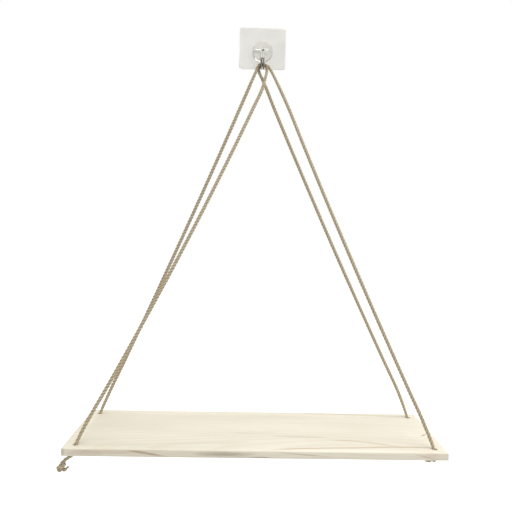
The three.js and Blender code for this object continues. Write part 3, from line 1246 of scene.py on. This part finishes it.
# The middle line of each rope between its knots: up through the plank's front hole, over the wire hook and
# down through the back hole.
LEFT_ROUTE: tuple[Point, ...] = (
    (-0.208, -0.1154, -0.4818), (-0.1993, -0.1122, -0.4758), (-0.1981, -0.1115, -0.4704),
    (-0.197, -0.1109, -0.465), (-0.1888, -0.107, -0.446), (-0.1689, -0.0983, -0.4086),
    (-0.1446, -0.088, -0.362), (-0.1157, -0.0752, -0.305), (-0.0853, -0.0613, -0.243),
    (-0.0598, -0.049, -0.189), (-0.0317, -0.0354, -0.1275), (-0.0112, -0.025, -0.081),
    (0.0002, -0.019, -0.0545), (0.0039, -0.016, -0.04), (0.0054, -0.0143, -0.0332),
    (0.0056, -0.0137, -0.0292), (0.0046, -0.0137, -0.0257), (0.0024, -0.0137, -0.0235),
    (-0.0005, -0.0137, -0.0228), (-0.0034, -0.0137, -0.0237), (-0.0054, -0.0137, -0.0262),
    (-0.0072, -0.0137, -0.0305), (-0.0114, -0.0137, -0.0404), (-0.0229, -0.0136, -0.068),
    (-0.0463, -0.0135, -0.124), (-0.0754, -0.0133, -0.192), (-0.0985, -0.0132, -0.245),
    (-0.129, -0.013, -0.314), (-0.1498, -0.0129, -0.36), (-0.1675, -0.0128, -0.399),
    (-0.1855, -0.0127, -0.438), (-0.1969, -0.0126, -0.4654), (-0.198, -0.0125, -0.47),
    (-0.198, -0.0125, -0.4745),
)

RIGHT_ROUTE: tuple[Point, ...] = (
    (0.1974, -0.1106, -0.4748), (0.198, -0.1114, -0.47), (0.1969, -0.1108, -0.465),
    (0.1865, -0.1046, -0.438), (0.172, -0.0972, -0.406), (0.1577, -0.0898, -0.374),
    (0.1432, -0.0821, -0.341), (0.1258, -0.0729, -0.301), (0.1023, -0.0602, -0.246),
    (0.0788, -0.0472, -0.19), (0.0525, -0.0323, -0.1255), (0.0327, -0.0207, -0.076),
    (0.0166, -0.0124, -0.0404), (0.0118, -0.01, -0.0308), (0.0092, -0.0096, -0.0266),
    (0.0066, -0.0096, -0.0241), (0.0035, -0.0096, -0.0229), (0.0002, -0.0096, -0.0229),
    (-0.0029, -0.0096, -0.0241), (-0.0046, -0.0096, -0.0267), (-0.0041, -0.0096, -0.031),
    (0.0003, -0.0097, -0.0403), (0.0069, -0.0099, -0.0545), (0.015, -0.01, -0.0736),
    (0.0367, -0.0103, -0.122), (0.0674, -0.0107, -0.189), (0.0953, -0.0111, -0.249),
    (0.1239, -0.0115, -0.309), (0.1461, -0.0118, -0.355), (0.1652, -0.0121, -0.394),
    (0.1845, -0.0123, -0.433), (0.1969, -0.0125, -0.465), (0.198, -0.0125, -0.47),
    (0.198, -0.0125, -0.4745),
)

LEFT_FRONT_KNOT = Knot(
    middle=(-0.2115, -0.1163, -0.4884),
    rope_way=(-0.037, -0.532, 0.846),
    side_way=(0.385, 0.774, 0.503),
    tail=((-0.2075, -0.118, -0.4916), (-0.2054, -0.1186, -0.4896), (-0.2036, -0.119, -0.4879)),
    pitch=0.0033,
)

LEFT_BACK_KNOT = Knot(
    middle=(-0.198, -0.0125, -0.4799),
    rope_way=(0, 0, 1),
    side_way=(0, -1, 0),
    tail=((-0.198, -0.0131, -0.486),),
)

RIGHT_FRONT_KNOT = Knot(
    middle=(0.1949, -0.1078, -0.4785),
    rope_way=(0.658, -0.437, 0.613),
    side_way=(0.649, 0.742, -0.168),
    tail=((0.1929, -0.1054, -0.4817), (0.1916, -0.104, -0.4829)),
    pitch=0.0031,
)

RIGHT_BACK_KNOT = Knot(
    middle=(0.198, -0.0125, -0.4799),
    rope_way=(0, 0, 1),
    side_way=(0.6, -0.8, 0),
    tail=((0.1982, -0.0131, -0.486),),
)


@dataclass
class Rope:
    """One jute rope: knot, leg, turn over the hook, leg and knot, laid from three strands.

    Its crown is how far a strand's crest stands from the rope's middle, and its tight crown is that where the
    rope is squeezed. Its strand share is how far a strand's middle stands from the rope's, as a share of the
    strand's radius.
    """

    name: str
    node: str
    route: tuple[Point, ...]
    start: Knot
    end: Knot
    exit: Point
    seed: int
    diameter: float = 0.0036
    crown: float = 0.00222
    tight_crown: float = 0.00196
    plank_level: float = -0.46
    hook_level: float = -0.036
    swell_reach: float = 0.02
    lay_length: float = 0.0125
    strands: int = 3
    strand_share: float = 0.7
    spacing: float = 0.00055
    fine_spacing: float = 0.0004
    fewest_steps: int = 4
    sides: int = 21
    unrolled_unit: float = 0.1
    tip_share: float = 0.5
    tip_reach: float = 0.006
    fibre_radius: float = 0.000045
    fibre_taper: float = 0.22
    fibre_gap: float = 0.0016
    fibre_margin: int = 4
    fibre_length: Span = (0.0012, 0.0036)
    fibre_lift: Span = (0.15, 0.55)
    fibre_drift: Span = (-0.5, 0.5)
    fibre_root_share: float = 0.8
    fibre_stations: tuple[float, ...] = (0, 0.35, 0.7, 1)
    fray_count: int = 46
    fray_root: float = 0.0008
    fray_place: Span = (0.1, 0.6)
    fray_length: Span = (0.0012, 0.0032)
    fray_fan: Span = (0.0, 0.5)
    fray_stations: tuple[float, ...] = (0, 0.4, 0.8, 1.2)
    path_step: int = 4
    line: list[Vector] = field(default_factory=list)

    def guide(self) -> list[Vector]:
        """Returns the points that the rope's middle line goes through."""
        first = list(reversed(self.start.points()))
        return first + [Vector(p) for p in self.route] + self.end.points()

    def settle_line(self) -> None:
        """Runs a smooth curve through the guide points and divides it evenly."""
        guide = self.guide()
        before = guide[0] * 2 - guide[1]
        beyond = guide[-1] * 2 - guide[-2]
        ring = [before, *guide, beyond]
        fine: list[Vector] = []
        for a, b, c, d in zip(ring, ring[1:], ring[2:], ring[3:]):
            gaps = [(q - p).length ** 0.5 for p, q in ((a, b), (b, c), (c, d))]
            leave = (b - a) / gaps[0] - (c - a) / (gaps[0] + gaps[1]) + (c - b) / gaps[1]
            arrive = (c - b) / gaps[1] - (d - b) / (gaps[1] + gaps[2]) + (d - c) / gaps[2]
            leave, arrive = leave * gaps[1], arrive * gaps[1]
            bend = b * 2 - c * 2 + leave + arrive
            swell = (c - b) * 3 - leave * 2 - arrive
            steps = max(self.fewest_steps, int((c - b).length / self.fine_spacing))
            for t in (step / steps for step in range(steps)):
                fine.append(b + leave * t + swell * t * t + bend * t * t * t)
        fine.append(guide[-1])
        self.line = self.divided(fine)

    def divided(self, fine: list[Vector]) -> list[Vector]:
        """Divides a line into even steps.

        Args:
            fine: The line's points.

        Returns:
            Points a spacing apart.
        """
        reach = [0.0]
        for p, q in zip(fine, fine[1:]):
            reach.append(reach[-1] + (q - p).length)
        count = round(reach[-1] / self.spacing)
        even, at = [], 0
        for i in range(count + 1):
            want = reach[-1] * i / count
            while at < len(fine) - 2 and reach[at + 1] < want:
                at += 1
            span = max(reach[at + 1] - reach[at], MERGE_REACH)
            even.append(fine[at].lerp(fine[at + 1], (want - reach[at]) / span))
        return even

    def frames(self) -> list[tuple[Vector, Vector, Vector]]:
        """Carries a pair of side directions along the line without twist.

        Returns:
            For each point its forward direction and the two side directions.
        """
        ahead = []
        for i in range(len(self.line)):
            p = self.line[max(i - 1, 0)]
            q = self.line[min(i + 1, len(self.line) - 1)]
            ahead.append((q - p).normalized())
        side = ahead[0].orthogonal().normalized()
        frames = [(ahead[0], side, ahead[0].cross(side))]
        for before, now in zip(ahead, ahead[1:]):
            side = before.rotation_difference(now) @ side
            side = (side - now * side.dot(now)).normalized()
            frames.append((now, side, now.cross(side)))
        return frames

    def fullness(self, point: Vector) -> float:
        """Tells how much the rope swells at a place: it is squeezed on the hook, in the holes and in knots.

        Args:
            point: A point of its middle line.

        Returns:
            The share of its full thickness.
        """
        squeezed = self.tight_crown / self.crown
        above_plank = (point.z - self.plank_level) / self.swell_reach
        below_hook = (self.hook_level - point.z) / self.swell_reach
        free = max(0.0, min(1.0, above_plank, below_hook))
        return squeezed + (1 - squeezed) * free * free * (3 - 2 * free)

    def section(self, turn: float) -> float:
        """Gives the outline of the strands laid together.

        Args:
            turn: The angle round the rope, 0 in a lay.

        Returns:
            The distance from the middle.
        """
        lobe = math.tau / self.strands
        offset = turn % lobe - lobe / 2
        strand = self.crown / (1 + self.strand_share)
        away = strand * self.strand_share
        return away * math.cos(offset) + math.sqrt(strand**2 - (away * math.sin(offset)) ** 2)

    def laid(self, material: Material) -> Piece:
        """Makes the rope's surface: a sheet of rings rolled round the line, with the strands' twist.

        Args:
            material: Its material.

        Returns:
            The object.
        """
        frames = self.frames()
        rings = len(self.line) - 1
        length = rings * self.spacing
        deepest = self.section(0.0)
        form = bmesh.new()
        unrolled = form.loops.layers.uv.new("unrolled")
        half = 0.5
        bmesh.ops.create_grid(form, x_segments=rings, y_segments=self.sides, size=half)
        crest = form.verts.layers.float.new("crest")
        places = {}
        for vert in form.verts:
            i = round((vert.co.x + half) * rings)
            share = round((vert.co.y + half) * self.sides) / self.sides
            places[vert] = (i, share)
        for face in form.faces:
            for loop in face.loops:
                i, share = places[loop.vert]
                loop[unrolled].uv = (i / rings * length / self.unrolled_unit, share)
        for vert, (i, share) in places.items():
            around = share * math.tau
            reach = self.section(around)
            vert[crest] = (reach - deepest) / (self.crown - deepest)
            near_end = min(i, rings - i) * self.spacing
            tip = self.tip_share + near_end / self.tip_reach * (1 - self.tip_share)
            reach *= min(1.0, tip) * self.fullness(self.line[i])
            _, side, up = frames[i]
            turn = around + i * self.spacing / self.lay_length * math.tau
            vert.co = self.line[i] + (side * math.cos(turn) + up * math.sin(turn)) * reach
        bmesh.ops.remove_doubles(form, verts=form.verts, dist=MERGE_REACH)
        bmesh.ops.holes_fill(form, edges=[e for e in form.edges if e.is_boundary])
        bmesh.ops.recalc_face_normals(form, faces=form.faces)
        soften(form, sharp_degrees=80.0)
        return as_object(self.name, form, material)

    def strokes(self) -> list[list[Vector]]:
        """Draws the loose fibres along the rope and the frayed ends.

        Returns:
            One short line for each fibre.
        """
        chance = random.Random(self.seed)
        frames = self.frames()
        last = len(self.line) - 1
        strokes = []
        for _ in range(int(last * self.spacing / self.fibre_gap)):
            i = chance.randrange(self.fibre_margin, last + 1 - self.fibre_margin)
            ahead, side, up = frames[i]
            turn = chance.uniform(0, math.tau)
            out = side * math.cos(turn) + up * math.sin(turn)
            way = ahead * chance.choice((-1, 1)) + ahead.cross(out) * chance.uniform(*self.fibre_drift)
            reach = chance.uniform(*self.fibre_length)
            lift = chance.uniform(*self.fibre_lift)
            base = self.line[i] + out * self.crown * self.fullness(self.line[i]) * self.fibre_root_share
            strokes.append([base + (way + out * lift * t) * reach * t for t in self.fibre_stations])
        for i, outward in ((0, -1), (last, 1)):
            ahead, side, up = frames[i]
            tip = ahead * outward
            for _ in range(self.fray_count):
                turn = chance.uniform(0, math.tau)
                out = side * math.cos(turn) + up * math.sin(turn)
                root = out * chance.uniform(*self.fray_place) * self.crown - tip * self.fray_root
                reach = chance.uniform(*self.fray_length)
                fan = out * chance.uniform(*self.fray_fan)
                start = self.line[i] + root
                strokes.append([start + (tip + fan * t) * reach * t for t in self.fray_stations])
        return strokes

    def fibres(self, material: Material) -> Piece:
        """Makes the loose fibres as fine tapering hairs.

        Args:
            material: Their material.

        Returns:
            The object.
        """
        form = tubes(f"{self.name}_hairs", self.strokes(), self.fibre_radius, 0, self.fibre_taper)
        for face in form.faces:
            face.smooth = True
        return as_object(f"{self.name}_fibres", form, material)

    def build(self, jute: Material, loose: Material) -> None:
        """Args:
            jute: The rope's material.
            loose: The fibres' material.
        """
        self.settle_line()
        rope = settle(self.laid(jute), Body.SHELF, self.node)
        fibres = self.fibres(loose)
        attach(fibres, Body.SHELF.value)


@dataclass(frozen=True)
class Ropes:
    """The pair of ropes that carry the plank."""

    left_exit: Point = (-0.1981, -0.1115, -0.474)
    right_exit: Point = (0.198, -0.1112, -0.474)
    left_seed: int = 7
    right_seed: int = 19

    def build(self) -> None:
        """Makes both ropes."""
        jute = JuteFinish().build()
        loose = FibreFinish().build()
        left = Rope(
            name="left_jute_rope",
            node="left_rope",
            route=LEFT_ROUTE,
            start=LEFT_FRONT_KNOT,
            end=LEFT_BACK_KNOT,
            exit=self.left_exit,
            seed=self.left_seed,
        )
        right = Rope(
            name="right_jute_rope",
            node="right_rope",
            route=RIGHT_ROUTE,
            start=RIGHT_FRONT_KNOT,
            end=RIGHT_BACK_KNOT,
            exit=self.right_exit,
            seed=self.right_seed,
        )
        left.build(jute, loose)
        right.build(jute, loose)


@dataclass(frozen=True)
class Viewpoint:
    """The camera of the photograph, fitted to the plank's and the plate's corners."""

    place: Point = (-0.01781, -0.69178, -0.22385)
    yaw: float = 0.02208
    pitch: float = -0.05453
    roll: float = 0.02204
    focal_pixels: float = 538.0
    picture_pixels: float = 512.0
    sensor: float = 36.0
    near_limit: float = 0.01

    def build(self) -> None:
        """Makes the camera and looks through it."""
        flat = math.cos(self.pitch)
        ahead = Vector((math.sin(self.yaw) * flat, math.cos(self.yaw) * flat, math.sin(self.pitch)))
        level = Vector((math.cos(self.yaw), -math.sin(self.yaw), 0))
        upright = level.cross(ahead)
        right = level * math.cos(self.roll) + upright * math.sin(self.roll)
        up = upright * math.cos(self.roll) - level * math.sin(self.roll)
        lens = bpy.data.cameras.new("viewpoint")
        lens.sensor_width = self.sensor
        lens.lens = self.sensor * self.focal_pixels / self.picture_pixels
        lens.clip_start = self.near_limit
        camera = bpy.data.objects.new("viewpoint", lens)
        turn = Matrix((right, up, -ahead)).transposed()
        camera.matrix_world = Matrix.Translation(self.place) @ turn.to_4x4()
        bpy.context.scene.collection.objects.link(camera)
        bpy.context.scene.camera = camera


@dataclass(frozen=True)
class SoftLamp:
    """A large square studio lamp."""

    name: str
    place: Point
    aim: Point
    size: float
    watts: float

    def build(self) -> None:
        """Hangs the lamp and turns it to its aim."""
        lamp = bpy.data.lights.new(self.name, "AREA")
        lamp.size = self.size
        lamp.energy = self.watts
        holder = bpy.data.objects.new(self.name, lamp)
        way = Vector(self.aim) - Vector(self.place)
        holder.location = self.place
        holder.rotation_euler = way.to_track_quat("-Z", "Y").to_euler()
        bpy.context.scene.collection.objects.link(holder)


@dataclass(frozen=True)
class Studio:
    """The plain pale floor, the white surroundings and the soft lamps."""

    floor_height: float = -0.95
    floor_size: float = 6.0
    floor_segments: int = 4
    ambient: float = 0.55
    lamps: tuple[SoftLamp, ...] = (
        SoftLamp("overhead", (0.45, -0.3, 1.25), aim=(0, -0.06, -0.4), size=1.3, watts=21.0),
        SoftLamp("front", (0.5, -1.7, 0.3), aim=(0, 0, -0.25), size=1.2, watts=3.0),
    )

    def floor(self) -> None:
        """Lays the floor."""
        form = bmesh.new()
        steps = self.floor_segments
        bmesh.ops.create_grid(form, x_segments=steps, y_segments=steps, size=self.floor_size)
        bmesh.ops.translate(form, vec=(0, 0, self.floor_height), verts=form.verts)
        ground = as_object("studio_floor", form, FloorFinish().build())

    def surroundings(self) -> None:
        """Makes a world that lights softly and shows white behind the object."""
        world = bpy.data.worlds.new("studio")
        world.use_nodes = True
        nodes = Nodes(world.node_tree)
        feeds = {"Value": nodes.looked_at(), "To Min": self.ambient}
        strength = nodes.add("ShaderNodeMapRange", feeds).outputs["Result"]
        backdrop = nodes.add("ShaderNodeBackground", {"Color": WHITE, "Strength": strength})
        nodes.add("ShaderNodeOutputWorld", {"Surface": backdrop.outputs["Background"]})
        bpy.context.scene.world = world

    def build(self) -> None:
        """Makes the floor, the surroundings and the lamps."""
        self.floor()
        self.surroundings()
        for lamp in self.lamps:
            lamp.build()
        bpy.context.scene.view_settings.view_transform = "Standard"


def main() -> None:
    """Builds the camera, the ropes, the hook, the plank and the studio."""
    logging.basicConfig(level=logging.INFO, format="%(name)s: %(message)s")
    Viewpoint().build()
    Ropes().build()
    WallHook().build()
    Plank().build()
    Studio().build()


if __name__ == "__main__":
    main()
